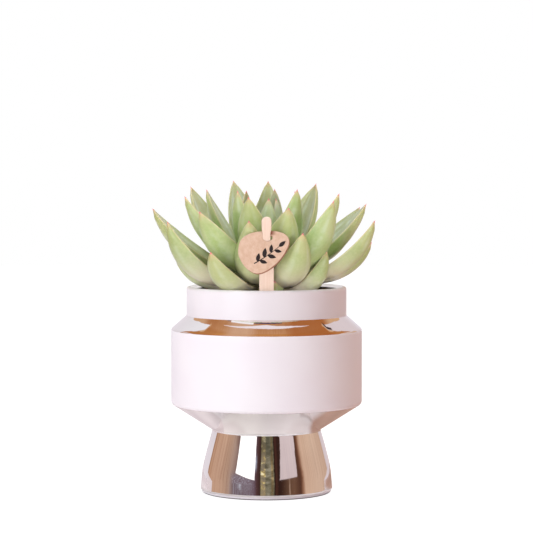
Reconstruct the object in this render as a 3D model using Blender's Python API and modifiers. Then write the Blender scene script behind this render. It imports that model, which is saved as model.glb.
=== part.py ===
"""Potted echeveria.

A rosette of agave-leaved echeveria grows in a plastic grow pot of soil. The grow pot stands in a
footed ceramic cover pot. A wooden stick in the soil carries a card tag. Metres, +Z up, with the
origin on the cover pot's axis at the plane that its foot stands on. -Y is the front.
"""

import math

import bmesh
import bpy
import numpy as np
from mathutils import Matrix, Vector
from mathutils.geometry import interpolate_bezier

MM = 0.001
GAP = 0.3 * MM  # clearance between pieces that touch

# Cover pot, outside. Radii and heights of the corners between its straight stretches.
POT_HEIGHT = 129.0 * MM
NECK_RADIUS = 50.1 * MM
NECK_FOOT_Z = 110.6 * MM
BELLY_RADIUS = 59.8 * MM
BELLY_TOP_Z = 102.6 * MM
BELLY_BOTTOM_Z = 56.0 * MM
WAIST_RADIUS = 33.8 * MM
WAIST_Z = 39.3 * MM
FOOT_MID_RADIUS = 39.7 * MM
FOOT_MID_Z = 17.0 * MM
FOOT_RADIUS = 41.2 * MM
FOOT_EDGE_Z = 5.0 * MM
FOOT_BASE_RADIUS = 40.4 * MM
WALL = 3.8 * MM
POT_FLOOR = 5.0 * MM
POT_STEPS = 64

# Grow pot.
GROW_TOP_Z = 127.2 * MM
GROW_RIM_RADIUS = 45.7 * MM
GROW_RIM_DEPTH = 8.0 * MM
GROW_TOP_RADIUS = 44.0 * MM
GROW_BOTTOM_RADIUS = 32.3 * MM
GROW_WALL = 0.9 * MM
GROW_STEPS = 48
DRAIN_HOLES = 6
DRAIN_RADIUS = 4.0 * MM
DRAIN_CIRCLE = 21.0 * MM

# Soil surface: height at the wall and where the plant's neck comes out.
SOIL_EDGE_Z = 126.4 * MM
SOIL_NECK_Z = 119.5 * MM

# Crown: the short thick stem that carries the leaves. It leans towards the front.
CROWN_Z = 128.5 * MM
CROWN_RADIUS = 10.0 * MM
CROWN_RISE = 16.0 * MM
ROOT_NECK_RADIUS = 7.5 * MM
ROOT_DEPTH = 28.0 * MM
LEAN = math.radians(5.0)

# Rosette. Leaf 0 is the oldest and lowest; each next leaf turns on by the divergence angle.
LEAF_COUNT = 41
FIRST_AZIMUTH = -4.0
DIVERGENCE = 137.96
AGE_KNOTS = (0, 5, 10, 15, 20, 25, 30, 35, 40)
REACH = (47, 63, 70, 69, 62, 48, 27, 14, 6)  # tip's distance from the crown's axis, mm
RISE = (9, 30, 43, 50, 57, 62, 63.5, 59, 50)  # tip's height above the crown's centre, mm
START_SLOPE = (0, 0, 4, 20, 31, 44, 56, 68, 80)  # of the blade where it leaves the crown, degrees
BEND = (0.64, 0.6, 0.55, 0.47, 0.42, 0.4, 0.4, 0.4, 0.4)  # where the blade turns up, of its chord
WIDTH = (15, 20, 24.5, 25, 24, 22, 18.5, 13.5, 8)  # widest place of the blade, mm

# How single leaves stray from the even spiral: degrees round, mm further out, mm further up.
STRAY = {
    0: (11, -10, -2), 2: (0, 4, 5), 3: (-2, -7, 6), 5: (1, -1, -1), 6: (-1, 4, -6), 7: (0, 0, -9),
    8: (3, -10, 3), 10: (1, -2, 2), 13: (-1, -16, 1), 14: (0, 7, -3), 15: (0, 3, -1),
    16: (-2, -6, 8), 18: (1, -1, -1), 19: (0, 0, -4), 20: (-1, -2, 3), 21: (1, -4, -2),
    22: (-3, 2, 0), 23: (0, 0, -1), 24: (0, -2, 0), 25: (1, 1, 1), 26: (2, -1, -1),
    27: (0, -3, 1), 28: (1, 3, -2), 29: (2, -1, 1), 30: (3, 0, 1), 32: (-1, -4, -1),
    33: (-1, -2, -1), 34: (-2, 0, -2), 35: (10, -2, 2), 36: (0, 0, -7), 37: (-2, -4, 1),
    38: (20, -5, -7), 39: (0, -4, -5), 40: (-4, 1, 0),
}
# How much steeper single leaves leave the crown, degrees.
STEEPER = {0: 8, 3: -6, 5: 3, 6: 6, 8: 8, 11: 3, 13: -2, 14: 3, 16: 2, 18: 6, 21: 5, 23: 1}

# One leaf, from its seat on the crown (0) to its tip (1).
STATIONS = (0.0, 0.09, 0.21, 0.36, 0.53, 0.69, 0.83, 0.935)
HALF_WIDTH = (0.32, 0.48, 0.71, 0.92, 1.0, 0.86, 0.58, 0.27)  # share of half the width
KEEL_DEPTH = (0.21, 0.29, 0.5, 0.8, 1.0, 0.92, 0.66, 0.34)  # share of the keel's full depth
TROUGH = (-0.3, -0.2, 0.2, 0.8, 1.0, 0.8, 0.5, 0.2)  # share of the upper face's full hollow
KEEL_SHARE = 0.38  # full keel depth over width
TROUGH_SHARE = 0.11  # full hollow over width
UPPER_POINTS = (0.5, 0.0, -0.5)  # places across the upper face, as shares of the half width
LOWER_POINTS = (-0.84, -0.46, 0.0, 0.46, 0.84)  # the same across the keeled lower face
KEEL_POWER = 2.1
KEEL_ROUND = 0.72

# Plant stick, measured along itself from its lower end.
STICK_LENGTH = 93.0 * MM
STICK_WIDTH = 8.8 * MM
STICK_THICK = 1.2 * MM
STICK_LEAN = math.radians(26.0)
STICK_Y = -42.0 * MM  # where it passes the soil's edge height
STICK_BURIED = 40.0 * MM
NECK_START = 72.0 * MM
NECK_WIDTH = 4.6 * MM
HEAD_START = 82.0 * MM
HEAD_WIDTH = 6.0 * MM
TAG_PLACE = 79.0 * MM  # the slot's centre

# Card tag.
TAG_THICK = 0.6 * MM
TAG_TILT = math.radians(28.0)  # against the stick
TAG_CORNERS = (  # mm, about the slot's centre
    (-17.0, -8.0), (-15.3, -1.2), (-9.5, 2.6), (-1.5, 3.9), (5.5, 3.9), (11.5, 1.8), (13.5, -2.8),
    (10.8, -9.2), (5.8, -15.5), (-0.8, -20.2), (-6.8, -21.4), (-12.4, -18.0), (-15.8, -13.0),
)
SLOT_WIDTH = 7.0 * MM
SLOT_HEIGHT = 4.6 * MM


def clear_scene():
    for obj in list(bpy.data.objects):
        bpy.data.objects.remove(obj)


def new_collection(name, hidden=False):
    made = bpy.data.collections.new(name)
    bpy.context.scene.collection.children.link(made)
    made.hide_render = hidden
    return made


def material(name, colour, roughness, metallic=0.0):
    made = bpy.data.materials.new(name)
    made.use_nodes = True
    shader = made.node_tree.nodes["Principled BSDF"]
    shader.inputs["Base Color"].default_value = (*colour, 1.0)
    shader.inputs["Roughness"].default_value = roughness
    shader.inputs["Metallic"].default_value = metallic
    return made


def add_object(name, data, collection, finish=None, parent=None):
    obj = bpy.data.objects.new(name, data)
    collection.objects.link(obj)
    if finish:
        data.materials.append(finish)
    if parent:
        obj.parent = parent
    return obj


def rounded(corners, arc_steps=2):
    """Points of a profile whose corners are (radius, height, fillet), each fillet an arc."""
    points = []
    for i, (r, z, fillet) in enumerate(corners):
        here = Vector((r, z))
        if fillet == 0 or i in (0, len(corners) - 1):
            points.append(here)
            continue
        back = (Vector(corners[i - 1][:2]) - here).normalized()
        on = (Vector(corners[i + 1][:2]) - here).normalized()
        half = back.angle(on) / 2
        reach = fillet / math.tan(half)
        centre = here + (back + on).normalized() * (fillet / math.sin(half))
        start, end = here + back * reach - centre, here + on * reach - centre
        turn = start.angle_signed(end)
        for step in range(arc_steps + 1):
            arm = start.copy()
            arm.rotate(Matrix.Rotation(-turn * step / arc_steps, 2))
            points.append(centre + arm)
    return points


def turned(name, profile, steps, collection, finish, parent=None):
    """A profile of (radius, height) points in the XZ plane, turned about Z by a Screw modifier."""
    mesh = bpy.data.meshes.new(name)
    verts = [(r, 0.0, z) for r, z in profile]
    edges = [(i, i + 1) for i in range(len(verts) - 1)]
    mesh.from_pydata(verts, edges, [])
    obj = add_object(name, mesh, collection, finish, parent)
    screw = obj.modifiers.new("turn", "SCREW")
    screw.axis = "Z"
    screw.steps = screw.render_steps = steps
    screw.use_merge_vertices = True
    screw.merge_threshold = 0.00001
    screw.use_smooth_shade = True
    return obj


def cut(obj, cutter):
    """Takes the cutter out of obj, after obj's other modifiers."""
    cutter.hide_render = True
    cutter.display_type = "WIRE"
    boolean = obj.modifiers.new("cut_" + cutter.name, "BOOLEAN")
    boolean.operation = "DIFFERENCE"
    boolean.solver = "EXACT"
    boolean.object = cutter


def under_belly_slope():
    return math.atan2(BELLY_BOTTOM_Z - WAIST_Z, BELLY_RADIUS - WAIST_RADIUS)


def cone_inside_z(radius, off=0.0):
    """Height of the cone inside the cover pot, under the belly, or of a face off from it."""
    slope = under_belly_slope()
    return WAIST_Z + (radius - WAIST_RADIUS) * math.tan(slope) + (WALL + off) / math.cos(slope)


def make_cover_pot(parts, finish):
    """A slip-cast pot: the inside follows the outside at one wall thickness, down into the foot."""
    inside = [
        (0.0, POT_FLOOR, 0.0),
        (FOOT_RADIUS - 1.8 * WALL, POT_FLOOR, 4 * MM),
        (WAIST_RADIUS - WALL, cone_inside_z(WAIST_RADIUS - WALL), 2 * MM),
        (BELLY_RADIUS - WALL, cone_inside_z(BELLY_RADIUS - WALL), 4 * MM),
        (BELLY_RADIUS - WALL, BELLY_TOP_Z - WALL / 2, 3 * MM),
        (NECK_RADIUS - WALL, NECK_FOOT_Z - WALL / 2, 2 * MM),
        (NECK_RADIUS - WALL, POT_HEIGHT, 1.6 * MM),
    ]
    outside = [
        (NECK_RADIUS, POT_HEIGHT, 2.1 * MM),
        (NECK_RADIUS, NECK_FOOT_Z, 0.0),
        (BELLY_RADIUS, BELLY_TOP_Z, 0.8 * MM),
        (BELLY_RADIUS, BELLY_BOTTOM_Z, 2.5 * MM),
        (WAIST_RADIUS, WAIST_Z, 0.0),
        (FOOT_MID_RADIUS, FOOT_MID_Z, 30 * MM),
        (FOOT_RADIUS, FOOT_EDGE_Z, 4 * MM),
        (FOOT_BASE_RADIUS, 0.0, 1 * MM),
        (0.0, 0.0, 0.0),
    ]
    return turned("cover_pot", rounded(inside + outside), POT_STEPS, parts, finish)


def grow_seat_z():
    """Height at which the grow pot's bottom edge lands on the cone inside the cover pot."""
    return cone_inside_z(GROW_BOTTOM_RADIUS, GAP)


def grow_inner_radius(z):
    """Inside radius of the grow pot's tapered wall below its rim."""
    span = GROW_TOP_Z - GROW_RIM_DEPTH - grow_seat_z()
    share = (z - grow_seat_z()) / span
    outer = GROW_BOTTOM_RADIUS + (GROW_TOP_RADIUS - GROW_BOTTOM_RADIUS) * share
    return outer - GROW_WALL


def make_grow_pot(parts, cutters, finish):
    """A thin tapered pot with a stepped-out rim and drain holes in its floor."""
    bottom = grow_seat_z()
    floor = bottom + GROW_WALL
    step_z = GROW_TOP_Z - GROW_RIM_DEPTH
    profile = [
        (0.0, floor),
        (grow_inner_radius(floor), floor),
        (GROW_TOP_RADIUS - GROW_WALL, step_z),
        (GROW_RIM_RADIUS - GROW_WALL, step_z + GROW_WALL),
        (GROW_RIM_RADIUS - GROW_WALL, GROW_TOP_Z),
        (GROW_RIM_RADIUS, GROW_TOP_Z),
        (GROW_RIM_RADIUS, step_z),
        (GROW_TOP_RADIUS, step_z - GROW_WALL),
        (GROW_BOTTOM_RADIUS, bottom),
        (0.0, bottom),
    ]
    pot = turned("grow_pot", profile, GROW_STEPS, parts, finish)
    drill = bmesh.new()
    for i in range(DRAIN_HOLES):
        turn = Matrix.Rotation(math.tau * i / DRAIN_HOLES, 4, "Z")
        place = turn @ Matrix.Translation((DRAIN_CIRCLE, 0.0, bottom))
        bmesh.ops.create_cone(
            drill, cap_ends=True, segments=12, radius1=DRAIN_RADIUS, radius2=DRAIN_RADIUS,
            depth=6 * MM, matrix=place,
        )
    mesh = bpy.data.meshes.new("drain_drill")
    drill.to_mesh(mesh)
    drill.free()
    cut(pot, add_object("drain_drill", mesh, cutters))
    return pot


def soil_profile():
    """Outline of the root ball: up the wall of the grow pot, then in over a shallow dish."""
    low = grow_seat_z() + GROW_WALL + GAP
    step_z = GROW_TOP_Z - GROW_RIM_DEPTH
    edge = GROW_RIM_RADIUS - GROW_WALL - GAP
    dish = [(0.0, SOIL_NECK_Z)]
    for share in (0.2, 0.4, 0.6, 0.8, 0.93, 1.0):
        dish.append((edge * share, SOIL_NECK_Z + (SOIL_EDGE_Z - SOIL_NECK_Z) * share**3))
    side = [
        (edge, step_z + GROW_WALL + GAP),
        (GROW_TOP_RADIUS - GROW_WALL - GAP, step_z),
        (grow_inner_radius(low) - GAP, low),
        (0.0, low),
    ]
    return dish + side


def crown_profile(grow_by):
    """The crown's dome and its tapered root, both fatter by grow_by, about the crown's centre."""
    radius = CROWN_RADIUS + grow_by
    dome = []
    for step in range(7):
        angle = math.pi / 2 * step / 6
        dome.append((radius * math.sin(angle), (CROWN_RISE + grow_by) * math.cos(angle)))
    root = [
        (ROOT_NECK_RADIUS + grow_by, -8 * MM),
        (2.5 * MM + grow_by, -ROOT_DEPTH),
        (0.0, -ROOT_DEPTH - 2 * MM - grow_by),
    ]
    return dome + root


def make_crown(parts, finish, rosette):
    return turned("crown", crown_profile(0.0), 20, parts, finish, rosette)


def make_soil(parts, cutters, finish, rosette):
    soil = turned("soil", soil_profile(), GROW_STEPS, parts, finish)
    cut(soil, turned("root_room", crown_profile(GAP), 20, cutters, None, rosette))
    slit_size = (STICK_WIDTH + 2 * GAP, STICK_THICK + 2 * GAP, 2 * STICK_BURIED + 2 * GAP)
    slit = bmesh.new()
    bmesh.ops.create_cube(slit, size=1.0, matrix=Matrix.Diagonal((*slit_size, 1.0)))
    mesh = bpy.data.meshes.new("stick_room")
    slit.to_mesh(mesh)
    slit.free()
    room = add_object("stick_room", mesh, cutters)
    room.location = (0.0, STICK_Y, SOIL_EDGE_Z)
    room.rotation_euler = (STICK_LEAN, 0.0, 0.0)
    cut(soil, room)
    return soil


def at_age(values, index):
    return float(np.interp(index, AGE_KNOTS, values))


def leaf_line(index):
    """The blade's line in the upright plane through the crown's axis: seat, bend and tip."""
    _, further, higher = STRAY.get(index, (0, 0, 0))
    seat_angle = math.acos(index / LEAF_COUNT)
    seat = Vector((math.sin(seat_angle) * (CROWN_RADIUS + GAP),
                   math.cos(seat_angle) * (CROWN_RISE + GAP)))
    tip = Vector((at_age(REACH, index) + further, at_age(RISE, index) + higher)) * MM
    chord = tip - seat
    start = math.radians(at_age(START_SLOPE, index) + STEEPER.get(index, 0.0))
    bend = seat + Vector((math.cos(start), math.sin(start))) * chord.length * at_age(BEND, index)
    return seat, bend, tip


def leaf_section(width, place):
    """Ring of (across, up) points: right margin, upper face, left margin, keeled lower face."""
    half = width / 2 * HALF_WIDTH[place]
    keel = width * KEEL_SHARE * KEEL_DEPTH[place]
    hollow = width * TROUGH_SHARE * TROUGH[place]
    ring = [(half, 0.0)]
    ring += [(half * x, -hollow * (1 - x * x)) for x in UPPER_POINTS]
    ring += [(-half, 0.0)]
    for x in LOWER_POINTS:
        ring.append((half * x, -keel * (1 - abs(x) ** KEEL_POWER) ** KEEL_ROUND))
    return ring


def make_leaf(index, parts, finish, rosette):
    """A loft of keeled sections along the leaf's line, closed to a point."""
    seat, bend, tip = leaf_line(index)
    width = at_age(WIDTH, index) * MM
    bm = bmesh.new()
    rings = []
    for place, share in enumerate(STATIONS):
        spot = seat * (1 - share) ** 2 + bend * (2 * share * (1 - share)) + tip * share**2
        along = ((bend - seat) * (1 - share) + (tip - bend) * share).normalized()
        up = Vector((-along.y, along.x))
        ring = []
        for across, rise in leaf_section(width, place):
            out, height = spot + up * rise
            ring.append(bm.verts.new((across, -out, height)))
        rings.append(ring)
    count = len(rings[0])
    for low, high in zip(rings, rings[1:]):
        for i in range(count):
            j = (i + 1) % count
            bm.faces.new((low[i], low[j], high[j], high[i]))
    point = bm.verts.new((0.0, -tip.x, tip.y))
    for i in range(count):
        bm.faces.new((rings[-1][i], rings[-1][(i + 1) % count], point))
    bm.faces.new(reversed(rings[0]))
    bmesh.ops.recalc_face_normals(bm, faces=bm.faces)
    mesh = bpy.data.meshes.new("leaf")
    bm.to_mesh(mesh)
    bm.free()
    mesh.shade_smooth()
    leaf = add_object(f"leaf_{index:02d}", mesh, parts, finish, rosette)
    azimuth = FIRST_AZIMUTH + DIVERGENCE * index + STRAY.get(index, (0, 0, 0))[0]
    leaf.rotation_euler = (0.0, 0.0, math.radians(azimuth))
    return leaf


def flat_shape(name, outline, thick, parts, finish, holes=()):
    """A flat outline as a filled 2D curve, extruded to its thickness, made a mesh."""
    curve = bpy.data.curves.new(name, "CURVE")
    curve.dimensions = "2D"
    curve.fill_mode = "BOTH"
    curve.extrude = thick / 2
    for loop in (outline, *holes):
        spline = curve.splines.new("POLY")
        spline.points.add(len(loop) - 1)
        for point, (x, y) in zip(spline.points, loop):
            point.co = (x, y, 0.0, 1.0)
        spline.use_cyclic_u = True
    return add_object(name, curve, parts, finish)


def half_round(radius, centre, start, end, steps):
    """Points of an arc about centre, in degrees."""
    points = []
    for step in range(steps + 1):
        angle = math.radians(start + (end - start) * step / steps)
        points.append((centre[0] + radius * math.cos(angle), centre[1] + radius * math.sin(angle)))
    return points


def stick_outline():
    """Blade with a pointed lower end, a narrow neck that holds the tag, and a round head."""
    blade, neck, head = STICK_WIDTH / 2, NECK_WIDTH / 2, HEAD_WIDTH / 2
    shoulder = NECK_START + 2 * MM
    right = [(1.5 * MM, 0.0), (blade, 9 * MM), (blade, NECK_START), (neck, shoulder)]
    right += [(neck, HEAD_START), (head, HEAD_START + 2.5 * MM)]
    top = half_round(head, (0.0, STICK_LENGTH - head), 0, 180, 8)
    left = [(-x, y) for x, y in reversed(right)]
    return right + top + left


def make_stick(parts, finish, holder):
    stick = flat_shape("plant_stick", stick_outline(), STICK_THICK, parts, finish)
    stick.parent = holder
    stick.location = (0.0, 0.0, -STICK_BURIED)
    stick.rotation_euler = (math.radians(90), 0.0, 0.0)
    return stick


def tag_outline():
    """A pebble-like rounded triangle about the slot's centre: an even closed curve by its corners."""
    corners = [Vector(corner) * MM for corner in TAG_CORNERS]
    count = len(corners)
    outline = []
    for i in range(count):
        before, here, after, last = (corners[(i + k) % count] for k in (-1, 0, 1, 2))
        lead, follow = (after - before) / 6, (last - here) / 6
        curve = interpolate_bezier(here, here + lead, after - follow, after, 4)
        outline += [(point.x, point.y) for point in curve[:-1]]
    return outline


def make_tag(parts, finish, holder):
    wide, tall = SLOT_WIDTH / 2, SLOT_HEIGHT / 2
    slot = [(-wide, -tall), (wide, -tall), (wide, tall), (-wide, tall)]
    tag = flat_shape("card_tag", tag_outline(), TAG_THICK, parts, finish, [slot])
    tag.parent = holder
    tag.location = (0.0, 0.0, TAG_PLACE - STICK_BURIED)
    tag.rotation_euler = (math.radians(90) - TAG_TILT, 0.0, 0.0)
    return tag


def main():
    clear_scene()
    parts = new_collection("potted_echeveria")
    cutters = new_collection("cutters", hidden=True)
    glaze = material("glaze", (0.88, 0.85, 0.87), 0.3)
    plastic = material("grow_pot_plastic", (0.03, 0.03, 0.03), 0.5)
    earth = material("soil", (0.05, 0.035, 0.025), 0.95)
    stem_skin = material("crown_bark", (0.30, 0.30, 0.14), 0.7)
    leaf_skin = material("leaf_green", (0.42, 0.56, 0.27), 0.35)
    wood = material("stick_wood", (0.80, 0.62, 0.45), 0.7)
    card = material("kraft_card", (0.66, 0.45, 0.32), 0.85)

    rosette = add_object("rosette", None, parts)
    rosette.location = (0.0, 0.0, CROWN_Z)
    rosette.rotation_euler = (LEAN, 0.0, 0.0)
    holder = add_object("stick_holder", None, parts)
    holder.location = (0.0, STICK_Y, SOIL_EDGE_Z)
    holder.rotation_euler = (STICK_LEAN, 0.0, 0.0)

    make_cover_pot(parts, glaze)
    make_grow_pot(parts, cutters, plastic)
    make_soil(parts, cutters, earth, rosette)
    make_crown(parts, stem_skin, rosette)
    for index in range(LEAF_COUNT):
        make_leaf(index, parts, leaf_skin, rosette)
    make_stick(parts, wood, holder)
    make_tag(parts, card, holder)


main()
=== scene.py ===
"""Looks of the potted echeveria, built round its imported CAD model. Metres, +Z up, -Y the front."""

import random
from math import atan2, cos, pi, radians, sin, sqrt, tan, tau

import bmesh
import bpy
import numpy as np
from mathutils import Matrix, Vector
from mathutils.geometry import interpolate_bezier


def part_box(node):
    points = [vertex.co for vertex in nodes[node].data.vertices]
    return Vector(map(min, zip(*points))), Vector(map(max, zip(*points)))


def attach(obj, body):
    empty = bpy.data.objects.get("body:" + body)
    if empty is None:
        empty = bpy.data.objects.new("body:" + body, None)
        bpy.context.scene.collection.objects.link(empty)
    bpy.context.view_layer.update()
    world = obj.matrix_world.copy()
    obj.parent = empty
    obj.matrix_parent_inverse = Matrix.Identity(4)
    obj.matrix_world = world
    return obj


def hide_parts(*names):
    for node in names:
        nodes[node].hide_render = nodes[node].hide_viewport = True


MM = 0.001
WHITE = (255, 255, 255)

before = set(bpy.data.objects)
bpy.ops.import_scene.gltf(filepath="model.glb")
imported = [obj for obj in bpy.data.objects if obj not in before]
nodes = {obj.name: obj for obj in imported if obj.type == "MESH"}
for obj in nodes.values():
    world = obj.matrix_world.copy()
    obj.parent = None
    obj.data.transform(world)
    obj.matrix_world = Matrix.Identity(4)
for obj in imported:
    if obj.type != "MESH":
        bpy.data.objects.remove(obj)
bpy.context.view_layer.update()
scene = bpy.context.scene


# ---- shading helpers


def linear(colour):
    """Linear light of a colour of three 8-bit sRGB numbers. One of four numbers is linear."""
    if len(colour) == 4:
        return colour
    shares = [value / 255 for value in colour]
    return (*(v / 12.92 if v <= 0.04045 else ((v + 0.055) / 1.055) ** 2.4 for v in shares), 1)


class Value:
    """What a node puts out: a number, place, colour or shader. Numbers take arithmetic."""

    def __init__(self, tree, socket):
        self.tree, self.socket = tree, socket

    def __add__(self, other):
        return self.tree.math("ADD", self, other)

    def __sub__(self, other):
        return self.tree.math("SUBTRACT", self, other)

    def __rsub__(self, other):
        return self.tree.math("SUBTRACT", other, self)

    def __mul__(self, other):
        return self.tree.math("MULTIPLY", self, other)

    def __abs__(self):
        return self.tree.math("ABSOLUTE", self)

    def fade(self, low, high, start=0, end=1, kind="SMOOTHSTEP"):
        """Goes from start to end while the value goes from low to high, and no further."""
        inputs = {0: self, 1: low, 2: high, 3: start, 4: end}
        return self.tree.value("MapRange", inputs, interpolation_type=kind)

    def line(self, low, high, start=0, end=1):
        """The same in a straight line."""
        return self.fade(low, high, start, end, "LINEAR")

    def within(self, low, high, soft):
        """1 between two numbers and 0 outside them, with ends soft over that width."""
        return self.fade(low - soft / 2, low + soft / 2) * \
            self.fade(high + soft / 2, high - soft / 2)

    def noise(self, scale, detail=2, rough=0.5, warp=0):
        """Cloudy noise at this place."""
        inputs = {"Vector": self, "Scale": scale, "Detail": detail, "Roughness": rough}
        return self.tree.value("TexNoise", inputs | {"Distortion": warp})

    def cells(self, scale):
        """Distance of this place from the middle of the nearest of many cells."""
        return self.tree.value("TexVoronoi", {"Vector": self, "Scale": scale})

    def stretched(self, scale, turn=(0, 0, 0)):
        return self.tree.value("Mapping", {"Vector": self, "Scale": scale, "Rotation": turn})

    def axes(self):
        outputs = self.tree.node("SeparateXYZ", {0: self}).outputs
        return [Value(self.tree, out) for out in outputs]

    def radius(self, scale=1):
        """Distance of this place from the pot's axis."""
        t = self.tree
        flat = t.value("VectorMath", {0: self, 1: (scale, scale, 0)}, operation="MULTIPLY")
        return t.value("VectorMath", {0: flat}, "Value", operation="LENGTH")


class Tree:
    """Short calls that build the node tree of one material or world."""

    def __init__(self, owner):
        owner.use_nodes = True
        self.owner, self.nodes, self.links = owner, owner.node_tree.nodes, owner.node_tree.links
        self.nodes.clear()

    def feed(self, socket, value):
        if isinstance(value, Value):
            self.links.new(value.socket, socket)
        elif value is not None:
            socket.default_value = linear(value) if socket.type == "RGBA" else value

    def node(self, kind, inputs=None, **settings):
        made = self.nodes.new("ShaderNode" + kind)
        for name, value in settings.items():
            setattr(made, name, value)
        for name, value in (inputs or {}).items():
            self.feed(made.inputs[name], value)
        return made

    def value(self, kind, inputs=None, output=0, **settings):
        return Value(self, self.node(kind, inputs, **settings).outputs[output])

    def math(self, operation, a, b=0):
        return self.value("Math", {0: a, 1: b}, operation=operation)

    def mix(self, share, a, b):
        return self.value("Mix", {0: share, 6: a, 7: b}, 2, data_type="RGBA")

    def paint(self, colour, *coats):
        """Lays coats over a colour in turn. Each is (share, colour)."""
        for share, coat in coats:
            colour = self.mix(share, colour, coat)
        return colour

    def ramp(self, share, *stops):
        made = self.node("ValToRGB", {"Fac": share})
        points = made.color_ramp.elements
        while len(points) < len(stops):
            points.new(0.5)
        for point, (place, colour) in zip(points, stops):
            point.position = place
            point.color = linear(colour)
        return Value(self, made.outputs[0])

    def place(self, kind="Object"):
        return self.value("TexCoord", output=kind)

    def point(self, x, y):
        return self.value("CombineXYZ", {0: x, 1: y})

    def attribute(self, name):
        return self.value("Attribute", output="Fac", attribute_name=name)

    def ray(self, kind):
        return self.value("LightPath", output=f"Is {kind} Ray")

    def relief(self, *layers):
        """A normal bent by each layer in turn. Each is (height, its distance in mm)."""
        normal = None
        for height, distance in layers:
            inputs = {"Height": height, "Distance": distance * MM, "Normal": normal}
            normal = self.value("Bump", inputs)
        return normal

    def glow(self, colour, strength=1):
        return self.value("Emission", {"Color": colour, "Strength": strength})

    def blend(self, share, a, b):
        return self.value("MixShader", {0: share, 1: a, 2: b})

    def surface(self, colour, roughness, normal=None, specular=0.5, **sockets):
        """Ends the material in one Principled shader."""
        inputs = {"Base Color": colour, "Roughness": roughness, "Normal": normal,
                  "Specular IOR Level": specular}
        inputs |= {name.replace("_", " "): value for name, value in sockets.items()}
        return self.end(self.value("BsdfPrincipled", inputs))

    def end(self, shader, kind="Material"):
        self.node("Output" + kind, {"Surface": shader})
        return self.owner


def new_material(name):
    """The tree of a new material, and the place that it reads."""
    t = Tree(bpy.data.materials.new(name))
    return t, t.place()


# ---- materials

# What each leaf's mesh carries: the share of its length, mm to its tip and to its margin, 1 on
# the inner face, a tone and the place across from -1 to 1, and its rank from outside to inside.
LEAF_VALUES = ("along", "tip_mm", "edge_mm", "upper", "tone", "across", "outermost", "inmost")


def leaf_skin():
    """Waxy green skin: beige seat, cream margins, a pink tip, paler, greyer inner faces, and painted
    gloss streaks, painted sheen on the inmost leaves and painted shade at the inner leaves' seats.
    """
    t, where = new_material("leaf_skin")
    along, tip, edge, upper, tone, across, outermost, inmost = map(t.attribute, LEAF_VALUES)
    clouds = where.noise(75, 3, 0.55)
    mottle = where.noise(620, 3, 0.6)
    cloudy = clouds.fade(0.32, 0.68)
    outer = t.paint((160, 187, 116), (cloudy, (184, 203, 148)), (outermost * 0.5, (134, 157, 96)))
    inner = t.mix(cloudy, (159, 173, 120), (180, 191, 152))
    # Painted gloss: pale bluish-white streaks near the margins stand in for highlights.
    painted_gloss = abs(across).within(0.42, 0.7, 0.24) * along.within(0.42, 0.9, 0.24)
    painted_gloss = painted_gloss * clouds.fade(0.3, 0.6) * upper.fade(0, 1, 0.3, 0.65)
    # Seat colour: pale beige on the outer leaves, their own colour, and dark saturated green on the
    # inner leaves, painted shade deep between the leaves.
    seat = along + (clouds - 0.5) * 0.3 - outermost * 0.17
    seat_colour_and_shade = t.mix(outermost, (116, 142, 46), (236, 222, 208))
    speck = where.cells(95).fade(0.075, 0.04) * clouds.fade(0.6, 0.62)
    colour = t.paint(
        outer, (upper, inner),
        (mottle.fade(0.35, 0.75) * 0.2, (214, 218, 172)),
        ((along + clouds * 0.3).fade(0.75, 1.2, 0, 0.5), (182, 182, 116)),
        # Painted sheen: the inmost leaves are painted a pale bluish-white.
        (inmost * 0.65, (208, 218, 208)),
        (painted_gloss, (206, 222, 204)),
        (seat.fade(0.62, 0.12, 0, 0.9), seat_colour_and_shade),
        (tone.fade(-1, 1, 0, 0.28), (198, 196, 140)),
        ((edge + mottle * 0.3).fade(0.7, 0.15, 0, 0.5), (230, 208, 174)),
        ((tip + mottle * 1.5).fade(6.5, 1.5, 0, 0.45), (212, 160, 124)),
        (tip.fade(2, 0.8), (224, 118, 130)),
        (speck * 0.6, (120, 96, 52)))
    rough = clouds.fade(0.3, 0.7, 0.34, 0.44) + (mottle - 0.5) * 0.1
    normal = t.relief((where.noise(130), 0.3), (where.noise(1500), 0.05))
    return t.surface(
        colour, rough, normal, Coat_Weight=0.55, Coat_Roughness=0.15, Subsurface_Weight=0.2,
        Subsurface_Scale=1.5 * MM, Subsurface_Radius=(1, 0.9, 0.35))


def white_glaze():
    """Satin white glaze: a faint lavender tone, fine orange peel, rare pinholes, a bare foot ring
    painted dark as the contact shadow.
    """
    t, where = new_material("white_glaze")
    pool = where.noise(18)
    pin = where.cells(160).fade(0.035, 0.02) * where.noise(40).fade(0.6, 0.66)
    # Painted shadow: the bare foot ring at the very bottom is painted dark as the contact shadow
    # under the pot.
    foot = where.axes()[2].fade(0.8 * MM, 0.5 * MM)
    colour = t.paint((246, 243, 248), (pool.fade(0.3, 0.7), (243, 238, 245)),
                     (pin * 0.25, (205, 196, 198)), (foot, (104, 95, 98)))
    normal = t.relief((where.noise(60), 0.12), (where.noise(900), 0.006))
    return t.surface(colour, pool.fade(0.3, 0.7, 0.3, 0.36), normal)


def silver_glaze():
    """Mirror silver lustre on the ceramic: a little wavy, with faint wiped streaks."""
    t, where = new_material("silver_glaze")
    pool = where.noise(26)
    streak = where.stretched((30, 30, 260)).noise(1, 3, 0.6)
    colour = t.mix(pool.fade(0.3, 0.7), (246, 242, 240), (236, 230, 228))
    rough = streak.fade(0.45, 0.75, 0.03, 0.06) + pool.fade(0.4, 0.7, 0, 0.015)
    normal = t.relief((where.noise(42, 1.5), 0.16), (where.noise(420), 0.006))
    return t.surface(colour, rough, normal, Metallic=1)


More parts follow.
